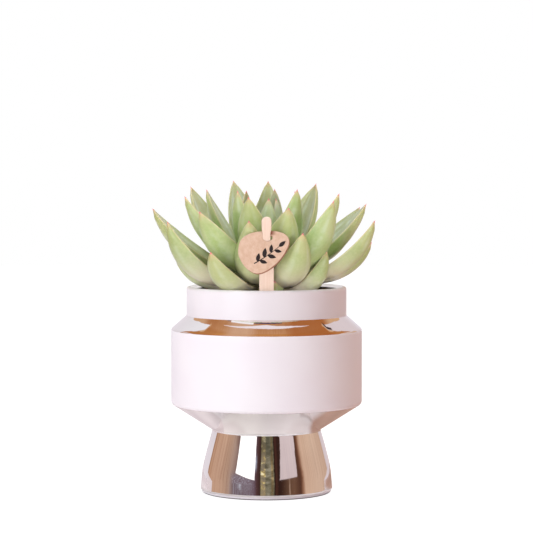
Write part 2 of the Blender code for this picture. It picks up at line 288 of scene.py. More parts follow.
def dark_plastic():
    """Recycled plastic, almost black, with dust and a fine moulded grain."""
    t, where = new_material("grow_pot_plastic")
    dust = where.noise(120, 4, 0.65)
    colour = t.mix(dust.fade(0.52, 0.75, 0, 0.5), (44, 40, 38), (96, 82, 70))
    rough = dust.fade(0.35, 0.75, 0.42, 0.72)
    return t.surface(colour, rough, t.relief((where.noise(1800), 0.03)))


def crumbs(name, dark, pale):
    """Peat or bark: colour by clump and by grain, with a rough crumbly relief."""
    t, where = new_material(name)
    clump = where.noise(260, 4, 0.65)
    grain = where.noise(1400, 3, 0.7)
    colour = t.paint(
        dark, (clump.fade(0.35, 0.7), pale), (t.attribute("tone"), (150, 104, 72)),
        (grain.fade(0.45, 0.8) * 0.4, (122, 88, 62)))
    normal = t.relief((clump + grain * 0.4, 0.7))
    rough = grain.fade(0.3, 0.7, 0.8, 0.98)
    return t.surface(colour, rough, normal, specular=0.25)


def crown_bark():
    """Dry greenish-brown stem with leaf scars round it."""
    t, where = new_material("crown_bark")
    scars = where.stretched((1, 1, 1.9)).cells(170)
    fibre = where.noise(700, 3, 0.6)
    colour = t.paint((150, 150, 84), (scars.fade(0.2, 0.6), (112, 98, 62)),
                     (fibre * 0.35, (186, 170, 120)))
    normal = t.relief((scars + fibre * 0.3, 0.4))
    return t.surface(colour, fibre.fade(0.3, 0.7, 0.6, 0.8), normal)


def raw_birch():
    """Pale raw birch: fine long grain along the stick, pores and a soft peach cast."""
    t, where = new_material("stick_birch")
    warm = where.stretched((1, 1, 0.12)).noise(180)
    grain = where.stretched((1900, 500, 26)).noise(1, 3, 0.55)
    pores = where.stretched((4200, 900, 130)).noise(1, 2, 0.6)
    colour = t.paint(
        (226, 205, 190), (grain.fade(0.3, 0.7), (220, 196, 178)),
        (warm.fade(0.35, 0.7, 0, 0.35), (232, 202, 184)),
        (pores.fade(0.62, 0.8, 0, 0.15), (205, 166, 134)))
    normal = t.relief((grain + pores * 0.6, 0.06))
    rough = grain.fade(0.3, 0.7, 0.55, 0.68)
    return t.surface(colour, rough, normal, specular=0.35)


def kraft_board():
    """Uncoated kraft board: cloudy pulp, short fibres and paler flecks."""
    t, where = new_material("kraft_board")
    pulp = where.noise(330, 4, 0.6)
    lying = where.stretched((2600, 700, 900), (0, 0.5, 0.4))
    fibre = lying.noise(1, 2, 0.6, 0.6)
    # Painted shade: the cut edge is painted dark brown where it lies unlit, and a painted shadow of
    # the stick's head lies on the face beside the slot.
    x, y, z = where.axes()
    cut = z.within(-0.22 * MM, 0.2 * MM, 0.05 * MM)
    painted_stick_shadow = x.fade(6.4 * MM, 2.4 * MM) * y.fade(0.9 * MM, 2.4 * MM)
    painted_stick_shadow = painted_stick_shadow * x.fade(1 * MM, 2 * MM)
    colour = t.paint(
        (197, 164, 142), (pulp.fade(0.3, 0.7), (208, 180, 159)),
        (fibre.fade(0.55, 0.75, 0, 0.25), (228, 208, 186)),
        (fibre.fade(0.42, 0.25, 0, 0.3), (184, 134, 104)),
        (cut * 0.8, (146, 98, 76)), (painted_stick_shadow * 0.95, (116, 62, 42)))
    rough = fibre.fade(0.3, 0.7, 0.78, 0.9)
    return t.surface(colour, rough, t.relief((pulp + fibre, 0.05)), specular=0.2)


def print_ink():
    """Matt near-black print, slightly broken where the board's fibres stand up."""
    t, where = new_material("print_ink")
    broken = where.noise(1500, 3, 0.6)
    colour = t.mix(broken.fade(0.6, 0.85, 0, 0.5), (30, 18, 18), (84, 58, 50))
    return t.surface(colour, broken.fade(0.3, 0.7, 0.6, 0.75), specular=0.3)


# ---- mesh helpers


def new_mesh(name, verts, faces, finish):
    mesh = bpy.data.meshes.new(name)
    mesh.from_pydata([tuple(v) for v in verts], [], faces)
    mesh.materials.append(finish)
    return mesh


def new_object(name, data, turn=Matrix.Identity(4)):
    obj = bpy.data.objects.new(name, data)
    scene.collection.objects.link(obj)
    obj.matrix_world = turn
    return obj


def settle(obj, replaced=()):
    """Rides a piece on the one body and hides the CAD nodes that it stands for."""
    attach(obj, "root")
    if replaced:
        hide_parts(*replaced)
    return obj


def new_piece(name, verts, faces, finish, replaced=(), smooth=True, values=None):
    """A mesh piece in the row frame that rides on the body and stands for CAD nodes."""
    mesh = new_mesh(name, verts, faces, finish)
    for attribute, numbers in (values or {}).items():
        layer = mesh.attributes.new(attribute, "FLOAT", "POINT")
        layer.data.foreach_set("value", np.asarray(numbers, np.float32))
    bm = bmesh.new()
    bm.from_mesh(mesh)
    bmesh.ops.recalc_face_normals(bm, faces=bm.faces)
    bm.to_mesh(mesh)
    bm.free()
    if smooth:
        mesh.shade_smooth()
    return settle(new_object(name, mesh), replaced)


def grid_faces(rows, columns, wrap=True):
    """Quads between rows of points, each row a closed ring if wrap is set."""
    faces = []
    for i in range(rows - 1):
        a, b = i * columns, (i + 1) * columns
        for j in range(columns if wrap else columns - 1):
            k = (j + 1) % columns
            faces.append((a + j, a + k, b + k, b + j))
    return faces


def closed_grid(rows, columns):
    """Quads between rings of points, with one face over the first ring and one over the last."""
    last = (rows - 1) * columns
    return [*grid_faces(rows, columns), tuple(range(columns)), tuple(range(last, last + columns))]


def on_ring(r, angle, z):
    """A point by its radius, its angle from +X and its height. Lengths in mm, angle in radians."""
    return r * MM * cos(angle), r * MM * sin(angle), z * MM


def through(x, y, at, monotone=True):
    """A smooth curve through the points (x, y), read at the places `at`. y may hold vectors."""
    x, y, at = np.asarray(x, float), np.asarray(y, float), np.asarray(at, float)
    flat = y.reshape(len(x), -1)
    step = np.diff(x)[:, None]
    rise = np.diff(flat, axis=0) / step
    slope = np.empty_like(flat)
    slope[0], slope[-1] = rise[0], rise[-1]
    slope[1:-1] = (rise[:-1] * step[1:] + rise[1:] * step[:-1]) / (step[1:] + step[:-1])
    if monotone:
        turning = rise[:-1] * rise[1:] <= 0
        limit = 3 * np.minimum(abs(rise[:-1]), abs(rise[1:]))
        slope[1:-1] = np.where(turning, 0, np.clip(slope[1:-1], -limit, limit))
    cell = np.clip(np.searchsorted(x, at, "right") - 1, 0, len(x) - 2)
    h = step[cell]
    u = ((at - x[cell])[:, None]) / h
    value = ((1 + 2 * u) * (1 - u) ** 2 * flat[cell] + u * (1 - u) ** 2 * h * slope[cell]
             + u * u * (3 - 2 * u) * flat[cell + 1] + u * u * (u - 1) * h * slope[cell + 1])
    return value.reshape((len(at),) + y.shape[1:])


def smoothstep(value, low, high):
    share = np.clip((np.asarray(value, float) - low) / (high - low), 0, 1)
    return share * share * (3 - 2 * share)


def unit(vectors):
    return vectors / np.linalg.norm(vectors, axis=-1, keepdims=True)


# ---- leaves

LEAF_ROWS = 64
ROWS_TO_TIP = 1.35  # above 1, rows crowd towards the tip
UPPER_STEPS = 20
LOWER_STEPS = 28
KEEL_POWER = 2.1
KEEL_ROUND = 0.56
NEEDLE_R = 0.36 * MM  # of the slender point that ends a leaf
NEEDLE_START = 0.93  # share of the last station at which only the point is left
MARGIN_THICK = 0.3 * MM
# Slow dents of the skin: depth in mm, waves along the leaf and turns across it.
DENTS = ((0.10, 2.3, 1), (0.07, 4.1, 2), (0.05, 7.3, 3))
SWAY = 0.35 * MM
# leaf_00's tip shows beside the stick, so it stands a little higher than the CAD's.
LIFTED_LEAF, LIFT = "leaf_00", Vector((1.2, 0, 3)) * MM


def welded(mesh):
    """Points of a mesh with its split corners joined, and each point's neighbours."""
    keys = [tuple(round(c * 1e6) for c in vertex.co) for vertex in mesh.vertices]
    points = {}
    for key, vertex in zip(keys, mesh.vertices):
        points.setdefault(key, vertex.co.copy())
    place = {key: i for i, key in enumerate(points)}
    near = [set() for _ in points]
    for edge in mesh.edges:
        a, b = (place[keys[i]] for i in edge.vertices)
        if a != b:
            near[a].add(b)
            near[b].add(a)
    return list(points.values()), near


def leaf_sections(obj, heart):
    """Reads a CAD leaf back as sections from seat to tip, and the tip's point.

    A section is its middle, the ways across and up, half its width, and the depths of its keel
    and of its upper face.
    """
    points, near = welded(obj.data)
    tip = max(range(len(points)), key=lambda i: (points[i] - heart).length)
    seen, ring, sections = {tip}, [tip], []
    while True:
        ring = sorted({j for i in ring for j in near[i]} - seen)
        if not ring:
            break
        seen.update(ring)
        corners = [points[i] for i in ring]
        right, left = max(((a, b) for a in corners for b in corners),
                          key=lambda pair: (pair[0] - pair[1]).length)
        across = (right - left).normalized()
        middle = (right + left) / 2
        inner = sorted((p for p in corners if p not in (right, left)),
                       key=lambda p: abs((p - middle).dot(across)))[:2]
        face, keel = sorted(inner, key=lambda p: (p - middle).length)
        up = (face - keel).normalized()
        sections.append((middle, across, up, (right - left).length / 2,
                         (middle - keel).dot(up), (middle - face).dot(up)))
    sections.reverse()
    first = sections[-1][1]
    return [(m, a if a.dot(first) > 0 else -a, *rest) for m, a, *rest in sections], points[tip]


def leaf_piece(name, sections, tip, finish, seed, replaced=()):
    """A fine closed skin through a leaf's sections, with rounded margins and a drawn-out tip."""
    dice = random.Random(seed)
    middle = np.array([s[0] for s in sections] + [tip], float)
    length = np.concatenate([[0], np.cumsum(np.linalg.norm(np.diff(middle, axis=0), axis=1))])
    knots, full = length[:-1], length[-1]
    at = full * (1 - (1 - np.linspace(0, 1, LEAF_ROWS)) ** ROWS_TO_TIP)
    before_tip = np.minimum(at, knots[-1])
    centre = through(length, middle, at, False)
    across, up, half, keel, hollow = (through(knots, [s[k] for s in sections], before_tip)
                                      for k in range(1, 6))
    across = unit(across)
    up = unit(up - (up * across).sum(1, keepdims=True) * across)

    # The last station narrows to a short slender point, round in section.
    past = np.clip((at - knots[-1]) / (full - knots[-1]), 0, 1)
    taper = np.clip(1 - past / NEEDLE_START, 0, 1) ** 1.12
    needle = NEEDLE_R * np.sqrt(np.clip(1 - past, 0, 1)) * smoothstep(past, 0, 0.4)
    half, keel, hollow = (size[:, None] for size in (
        np.maximum(half * taper, needle), np.maximum(keel * taper, needle), hollow * taper))
    round_off = smoothstep(past, 0.35, 0.9)[:, None]

    turn = np.concatenate([np.linspace(0, pi, UPPER_STEPS + 1)[:-1],
                           np.linspace(pi, 2 * pi, LOWER_STEPS + 1)[:-1]])
    top = np.arange(len(turn)) < UPPER_STEPS
    u = np.cos(turn)
    bow = np.sqrt(np.clip(1 - u * u, 0, 1))
    rim = np.minimum(MARGIN_THICK, 0.2 * half)
    over = -hollow * (1 - u * u) + rim * np.clip(1 - abs(u) ** 6, 0, 1) ** 0.5
    under = -keel * (1 - abs(u) ** KEEL_POWER) ** KEEL_ROUND
    rise = np.where(top, over, under) * (1 - round_off) \
        + half * bow * round_off * np.where(top, 1, -1)

    # Slow dents, a slightly wavy margin and a faint sideways bow.
    share = (at / full)[:, None]
    calm = np.clip(np.minimum(share / 0.15, (1 - share) / 0.12), 0, 1)
    dent = np.zeros_like(rise)
    for size, waves, turns in DENTS:
        phase, other = dice.uniform(0, tau), dice.uniform(0, tau)
        dent += size * np.sin(waves * tau * share + phase + turns * u * 1.6) \
            * np.cos(turns * u + other)
    rise = rise + dent * MM * calm * (0.35 + 0.65 * bow)
    sway = dice.uniform(-1, 1) * SWAY * np.sin(pi * share)
    edge_wave = 1 + 0.012 * calm * np.sin(11 * share + dice.uniform(0, tau))
    side = half * u * edge_wave + sway

    points = (centre[:, None, :] + across[:, None, :] * side[..., None]
              + up[:, None, :] * rise[..., None])
    rows, columns = rise.shape
    edge = (half * (1 - abs(u)) + 0.35 * abs(rise) * (abs(u) > 0.9)) / MM
    values = (share, (full - at)[:, None] / MM, edge,
              np.where(top, smoothstep(bow, 0.1, 0.45), 0), dice.uniform(-1, 1), u,
              1 - smoothstep(seed, 9, 19), smoothstep(seed, 30, 40))
    values = {key: np.broadcast_to(value, rise.shape).ravel()
              for key, value in zip(LEAF_VALUES, values)}
    new_piece(name, points.reshape(-1, 3), closed_grid(rows, columns), finish,
              replaced, True, values)


def make_leaves(finish):
    """A fine skin for each CAD leaf, from the outermost to the inmost."""
    low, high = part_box("crown")
    heart = Vector((0, 0, low.z + 0.65 * (high.z - low.z)))
    names = sorted(n for n in nodes if n.startswith("leaf_"))
    for seed, name in enumerate(names):
        sections, tip = leaf_sections(nodes[name], heart)
        if name == LIFTED_LEAF:
            tip = tip + LIFT
            sections[-1] = (sections[-1][0] + LIFT * 0.5, *sections[-1][1:])
        leaf_piece("skin_" + name, sections, tip, finish, seed, [name])


# Innermost leaves of the heart: reach and height of the tip from the crown's centre, widest, mm.
CROWN_CENTRE = Vector((0, 0, 128.5 * MM))
CROWN_LEAN = radians(5)
HEART_LEAVES = ((5, 43, 7), (4.4, 39, 6.6), (3.7, 35, 6), (3, 31.5, 5.4),
                (2.2, 28.5, 4.6), (1.2, 26, 3.8), (0.7, 24, 3.3), (0.3, 22.4, 2.8))
# (share of the length, share of the widest) of their sections.
HEART_WIDTHS = ((0, 0.5), (0.12, 0.72), (0.3, 0.95), (0.52, 1), (0.74, 0.74), (0.9, 0.36))
HEART_SEAT_Z = 13
LEAF_TURN = 137.96  # degrees from one leaf to the next
CAD_LEAVES = 41


def make_heart(finish):
    """Small closed leaves in the middle of the rosette, above the crown."""
    lean = Matrix.Translation(CROWN_CENTRE) @ Matrix.Rotation(CROWN_LEAN, 4, "X")
    for i, (reach, height, width) in enumerate(HEART_LEAVES):
        azimuth = radians(-4 + LEAF_TURN * (CAD_LEAVES + i))
        turn = lean @ Matrix.Rotation(azimuth, 4, "Z")
        seat = Vector((0, -3.4 + 0.45 * i, HEART_SEAT_Z)) * MM
        tip = Vector((0, -reach, height)) * MM
        belly = HEART_SEAT_Z + 0.42 * (height - HEART_SEAT_Z)
        bend = Vector((0, -3.6 - 0.75 * (6 - i), belly)) * MM
        spin = turn.to_3x3()
        across = spin @ Vector((1, 0, 0))
        sections = []
        for share, wide in HEART_WIDTHS:
            spot = seat * (1 - share) ** 2 + bend * 2 * share * (1 - share) + tip * share**2
            way = ((bend - seat) * (1 - share) + (tip - bend) * share).normalized()
            up = spin @ Vector((0, way.z, -way.y))
            half = wide * width * MM / 2
            sections.append((turn @ spot, across, up, half, half * 0.62, half * 0.12))
        leaf_piece(f"heart_leaf_{i + 1}", sections, turn @ tip, finish, 100 + i)


# ---- cover pot

POT_STEPS = 256
FILLET_STEPS = 8
FILLET_MARGIN = 0.25  # mm from the end of an arc to the row beside it
# (radius, height, fillet) of the outside and the inside, mm.
OUTSIDE = (
    (46.3, 129, 1.6), (50.1, 129, 2.1), (50.1, 110.9, 0.5), (59.8, 102.4, 3.2),
    (59.8, 56, 2.6), (33.8, 39.3, 1.2), (36.8, 28.5, 450), (40.24, 14.8, 60),
    (41.2, 2.6, 2), (40.2, 0, 0.8), (37, 0, 0.6), (36.2, 0.5, 0.4), (0, 0.5, 0),
)
INSIDE = ((0, 5, 0), (34.4, 5, 4), (30, 41.6, 2), (56, 58.3, 4),
          (56, 100.7, 3), (46.3, 108.7, 2), (46.3, 129, 1.6))
# The stretches of the outside that are silver: from one height to another, mm.
SILVER = (("silver_shoulder", 101.8, 110.9), ("silver_foot", 0.9, 55.3))
SILVER_PROUD = 0.1
SILVER_TUCK = 0.2


def filleted(corners):
    """Points (radius, height) of a profile whose corners are arcs, with rows beside each arc."""
    points = []
    for i, (r, z, fillet) in enumerate(corners):
        here = Vector((r, z))
        if fillet == 0 or i in (0, len(corners) - 1):
            points.append(here)
            continue
        back = Vector(corners[i - 1][:2]) - here
        on = Vector(corners[i + 1][:2]) - here
        half = back.angle(on) / 2
        reach = min(fillet / tan(half), back.length * 0.49, on.length * 0.49)
        radius = reach * tan(half)
        back.normalize()
        on.normalize()
        centre = here + (back + on).normalized() * (radius / sin(half))
        start, end = here + back * reach - centre, here + on * reach - centre
        turn = start.angle_signed(end)
        points.append(here + back * (reach + FILLET_MARGIN))
        for step in range(FILLET_STEPS + 1):
            arm = start.copy()
            arm.rotate(Matrix.Rotation(-turn * step / FILLET_STEPS, 2))
            points.append(centre + arm)
        points.append(here + on * (reach + FILLET_MARGIN))
    return [tuple(point) for point in points]


def lathe(name, profile, finish, replaced=()):
    """A profile of (radius, height) in mm turned about Z. Ends on the axis close to one point."""
    verts, rings = [], []
    for r, z in profile:
        count = POT_STEPS if r > 1e-6 else 1
        rings.append([len(verts) + k % count for k in range(POT_STEPS)])
        verts += [on_ring(r, tau * k / POT_STEPS, z) for k in range(count)]
    faces = []
    for a, b in zip(rings, rings[1:]):
        for k in range(POT_STEPS):
            j = (k + 1) % POT_STEPS
            corners = tuple(dict.fromkeys((a[k], a[j], b[j], b[k])))
            if len(corners) > 2:
                faces.append(corners)
    return new_piece(name, verts, faces, finish, replaced)


def offset(profile):
    """A thin skin over a profile that runs upwards, with both ends tucked in."""
    outer = []
    for i, (r, z) in enumerate(profile):
        before, after = profile[max(i - 1, 0)], profile[min(i + 1, len(profile) - 1)]
        way = Vector((after[0] - before[0], after[1] - before[1])).normalized()
        outer.append((r + way.y * SILVER_PROUD, z - way.x * SILVER_PROUD))
    (r0, z0), (r1, z1) = profile[0], profile[-1]
    return [(r0 - SILVER_TUCK, z0), *outer, (r1 - SILVER_TUCK, z1)]


def make_cover_pot(white, silver):
    """The white body with its hollow, and the silver as two skins on it."""
    outside = filleted(OUTSIDE)
    lathe("pot_body", filleted(INSIDE)[:-1] + outside[1:], white, ["cover_pot"])
    for name, low, high in SILVER:
        stretch = [p for p in outside[::-1] if low <= p[1] <= high and p[0] > 30]
        skin = lathe(name, offset(stretch), silver)
        skin.data.set_sharp_from_angle(angle=radians(60))


# ---- soil

DISH_EDGE_R = 44.4
DISH_EDGE_Z = 126.2
DISH_MIDDLE_Z = 119.5
SOIL_RINGS = 56
SOIL_COLUMNS = 192
SOIL_BITS = 420


def dish_z(r):
    """Height of the soil at a radius, mm."""
    return DISH_MIDDLE_Z + (DISH_EDGE_Z - DISH_MIDDLE_Z) * min(r / DISH_EDGE_R, 1) ** 3


def make_soil(peat, bark):
    """A crumbly dish of peat down to the root ball's base, with loose bits on top."""
    dice = random.Random(5)
    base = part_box("soil")[0].z / MM
    waves = [(dice.uniform(-1, 1), dice.uniform(-1, 1), dice.uniform(0, tau), size)
             for size in (3, 4.5, 7, 11, 16, 24, 36) for _ in range(5)]
    verts, angles = [], [tau * k / SOIL_COLUMNS for k in range(SOIL_COLUMNS)]
    for i in range(SOIL_RINGS):
        r = 0.4 + (DISH_EDGE_R - 0.4) * i / (SOIL_RINGS - 1)
        for angle in angles:
            x, y = r * cos(angle), r * sin(angle)
            bump = sum(sin((a * x + b * y) * size / 12 + phase) / size**0.6
                       for a, b, phase, size in waves) * 0.42
            edge = min(1, (DISH_EDGE_R - r) / 3 + 0.25)
            verts.append(on_ring(r, angle, dish_z(r) + bump * edge))
    for r, z in ((44.3, 119.9), (42.8, 118.9), (31.2, base + 0.1)):
        verts += [on_ring(r, angle, z) for angle in angles]
    tone = [dice.uniform(0, 0.1) for _ in verts]
    new_piece("soil_bed", verts, closed_grid(SOIL_RINGS + 3, SOIL_COLUMNS), peat,
              ["soil"], True, {"tone": tone})
    verts, faces, tone = [], [], []
    for _ in range(SOIL_BITS):
        r = sqrt(dice.uniform(11**2, 43.2**2))
        angle = dice.uniform(0, tau)
        size = dice.choice((0.5, 0.6, 0.8, 1, 1.3, 1.7))
        spin = Matrix.Identity(3)
        for low, high, axis in ((0, tau, "Z"), (-0.6, 0.6, "X"), (-0.4, 0.4, "Y")):
            spin = spin @ Matrix.Rotation(dice.uniform(low, high), 3, axis)
        long = dice.uniform(0.8, 2.2) if size > 0.9 else dice.uniform(0.8, 1.4)
        shade = dice.choice((0, 0.05, 0.15, 0.3, 0.55))
        centre = Vector((r * cos(angle), r * sin(angle), dish_z(r) + size * 0.35))
        blob = bmesh.new()
        bmesh.ops.create_icosphere(blob, subdivisions=2, radius=1)
        first = len(verts)
        for vertex in blob.verts:
            flat = Vector((long, 0.8, 0.5)) * size * (1 + dice.uniform(-0.16, 0.16))
            spot = centre + spin @ Vector(a * b for a, b in zip(vertex.co, flat))
            verts.append(spot * MM)
            tone.append(shade)
        faces += [tuple(first + v.index for v in face.verts) for face in blob.faces]
        blob.free()
    new_piece("soil_bits", verts, faces, bark, (), False, {"tone": tone})


# ---- stick and tag

UPRIGHT = radians(90)
STICK_FOOT = Vector((0, -42, 126.4)) * MM
STICK_LEAN = radians(26)
STICK_THICK = 1.2 * MM
# Right edge of the stick from its point in the soil to its head: (x, height above the soil), mm.
STICK_EDGE = ((1.4, -40), (3.2, -36.5), (4.3, -31.5), (4.4, -30), (4.4, 30.5), (4.25, 32),
              (3.3, 33.3), (2.5, 34.6), (2.3, 36), (2.3, 41.2), (2.45, 42.6), (2.85, 44.4))
STICK_HEAD_R = 3
STICK_HEAD_Y = 50
TAG_TILT = radians(28)
TAG_SPOT = 39 * MM  # the slot's middle, from the soil's edge height along the stick
TAG_THICK = 0.6 * MM
TAG_SKEW = Vector((0.5, -0.55, 0)) * MM  # of the back: the cut edge shows at the lower right
TAG_CORNERS = (  # mm, about the slot's middle
    (-17, -8), (-15.3, -1.2), (-9.5, 2.6), (-1.5, 3.9), (5.5, 3.9), (11.5, 1.8), (13.5, -2.8),
    (10.8, -9.2), (5.8, -15.5), (-0.8, -20.2), (-6.8, -21.4), (-12.4, -18), (-15.8, -13),
)
# Sprig print: leaves along a stem, each as (share of the stem, side, length mm).
STEM = ((-7.5, -15.5), (-2.5, -13), (3.5, -8.8), (8.6, -4.4))
STEM_STEPS = 24
SPRIG = ((0.14, 1, 5.2), (0.22, -1, 4.8), (0.38, 1, 5.8), (0.48, -1, 5.2), (0.64, 1, 5),
         (0.74, -1, 4.4), (0.92, 0, 5.2))
SPRIG_ANGLE = radians(48)
PRINT_THICK = 0.03 * MM


def closed_curve(corners, steps):
    """An even closed curve by its corners, as (x, y) points."""
    corners = [Vector((*corner, 0)) for corner in corners]
    count, line = len(corners), []
    for i in range(count):
        before, here, after, last = (corners[(i + k) % count] for k in (-1, 0, 1, 2))
        lead, follow = (after - before) / 6, (last - here) / 6
        line += interpolate_bezier(here, here + lead, after - follow, after, steps)[:-1]
    return line


def flat_mesh(name, loops, thick, soft, finish):
    """A flat outline in mm with holes, as a solid with softened edges."""
    curve = bpy.data.curves.new(name, "CURVE")
    curve.dimensions = "2D"
    curve.fill_mode = "BOTH"
    curve.extrude = thick / 2 - soft
    curve.bevel_depth = soft
    curve.bevel_resolution = 2
    curve.offset = -soft
    for loop in loops:
        spline = curve.splines.new("POLY")
        spline.points.add(len(loop) - 1)
        for point, spot in zip(spline.points, loop):
            point.co = (spot[0] * MM, spot[1] * MM, 0, 1)
        spline.use_cyclic_u = True
    holder = bpy.data.objects.new(name, curve)
    mesh = bpy.data.meshes.new_from_object(holder)
    bpy.data.objects.remove(holder)
    bm = bmesh.new()
    bm.from_mesh(mesh)
    bmesh.ops.remove_doubles(bm, verts=bm.verts, dist=1e-6)
    bmesh.ops.triangulate(bm, faces=[f for f in bm.faces if len(f.verts) > 4])
    bm.to_mesh(mesh)
    bm.free()
    mesh.shade_smooth()
    mesh.set_sharp_from_angle(angle=radians(50))
    mesh.materials.clear()
    mesh.materials.append(finish)
    return mesh


def make_stick(finish):
    """Blade, narrow neck and round head. Returns where it stands, for the tag."""
    turns = [radians(-8 + 196 * k / 24) for k in range(25)]  # shoulder to shoulder
    head = [(STICK_HEAD_R * cos(a), STICK_HEAD_Y + STICK_HEAD_R * sin(a)) for a in turns]
    outline = [*STICK_EDGE, *head, *((-x, y) for x, y in reversed(STICK_EDGE))]
    stand = Matrix.Translation(STICK_FOOT) @ Matrix.Rotation(STICK_LEAN, 4, "X")
    mesh = flat_mesh("stick", [outline], STICK_THICK, 0.28 * MM, finish)
    mesh.transform(Matrix.Rotation(UPRIGHT, 4, "X"))
    settle(new_object("stick", mesh, stand), ["plant_stick"])
    return stand


def sprig_loops():
    """Outlines of the print: the stem, then its pointed leaves."""
    line = interpolate_bezier(*(Vector(p).to_3d() for p in STEM), STEM_STEPS + 1)
    left, right = [], []
    for i, spot in enumerate(line):
        way = (line[min(i + 1, STEM_STEPS)] - line[max(i - 1, 0)]).normalized()
        side = Vector((-way.y, way.x, 0)) * (0.34 - 0.2 * i / STEM_STEPS)
        left.append(spot + side)
        right.append(spot - side)
    loops = [left + right[::-1]]
    for share, hand, size in SPRIG:
        at = round(share * STEM_STEPS)
        way = line[min(at + 1, STEM_STEPS)] - line[min(at, STEM_STEPS - 1)]
        turn = atan2(way.y, way.x) + SPRIG_ANGLE * hand
        spine = Vector((cos(turn), sin(turn), 0))
        side = Vector((-spine.y, spine.x, 0))
        left, right = [], []
        for k in range(13):
            u = k / 12
            wide = 1.08 * sin(pi * u**0.8) ** 0.9 * size / 4.6
            base = line[at] + spine * (0.25 + u * size)
            left.append(base + side * wide)
            right.append(base - side * wide)
        loops.append(left + right[-2:0:-1])
    return loops


def make_tag(stand, board, ink):
    """Card with a slot for the stick's neck, and a plain sprig printed on its front."""
    slot = [(-2.2, 2.3), (-2.3, -0.7)]
    slot += [(-2.3 + 5.9 * k / 12, -0.7 - 1.5 * sin(pi * k / 12)) for k in range(1, 12)]
    slot += [(3.6, -0.6), (3.5, 1.1), (2.2, 1.1), (2.2, 2.3)]
    turn = stand @ Matrix.Translation((0, 0, TAG_SPOT)) @ \
        Matrix.Rotation(UPRIGHT - TAG_TILT, 4, "X")
    mesh = flat_mesh("tag", [closed_curve(TAG_CORNERS, 9), slot], TAG_THICK, 0.12 * MM, board)
    for vertex in mesh.vertices:
        if vertex.co.z < 0:
            vertex.co += TAG_SKEW
    settle(new_object("tag_board", mesh, turn), ["card_tag"])
    verts, faces = [], []
    for loop in sprig_loops():
        faces.append(tuple(range(len(verts), len(verts) + len(loop))))
        verts += [(p.x * MM, p.y * MM, TAG_THICK / 2 + PRINT_THICK) for p in loop]
    mesh = new_mesh("tag_print", verts, faces, ink)
    settle(new_object("tag_print", mesh, turn))


# ---- stage, light and camera

FLOOR_SIZE = 6
SURROUND_R = 420
SURROUND_LOW = -45
SURROUND_TOP = 250
FOOT_LOW, FOOT_HIGH = 2.9, 38.5  # the side of the flared foot, mm
ROW_LIMIT = 40
# What stands round the set in front and at both sides, as (azimuth, colour).
SURROUND_BANDS = (
    (-127, (150, 104, 74)), (-121, (168, 122, 90)), (-116, (190, 148, 122)),
    (-88, (196, 158, 134)), (-76, (184, 150, 128)), (-70, (166, 134, 116)),
    (-62, (142, 112, 98)), (-56, (118, 92, 88)), (-21, (104, 84, 96)), (-17, (84, 58, 58)),
    (-11, (58, 40, 36)), (-10, (112, 104, 72)), (12.4, (92, 88, 64)), (13.4, (40, 26, 22)),
    (17, (78, 48, 40)), (21, (50, 32, 28)), (27, (64, 42, 34)), (38, (104, 76, 60)),
    (48, (116, 84, 66)), (58, (88, 58, 46)), (61, (104, 68, 52)), (65, (160, 118, 94)),
    (70, (212, 178, 154)), (100, (218, 188, 166)), (128, (206, 174, 152)),
    (137, (194, 160, 138)),
)
BANDS_START, BANDS_END = -130, 140
RIM_CARD_R = 50.25
RIM_CARD_Z = 131
# The rim card's reach at a turn from the front, as (degrees, radius mm).
RIM_CARD_REACH = ((0, 125), (70, 125), (90, 100), (106, 96), (107, 65.5), (180, 62))


def compass(x, y):
    """Azimuth in degrees: 0 is the camera's side of the pot, + towards +X."""
    return x.tree.math("ARCTAN2", x, y * -1) * (180 / pi)


def by_compass(r, azimuth, z):
    """A point by radius, azimuth in degrees and height, mm."""
    return on_ring(r, radians(azimuth - 90), z)


def stage_mesh(name, verts, faces, finish, mirrors_only=False):
    obj = new_object(name, new_mesh(name, verts, faces, finish))
    if mirrors_only:
        obj.visible_camera = obj.visible_diffuse = obj.visible_shadow = False
        obj.visible_transmission = obj.visible_volume_scatter = False


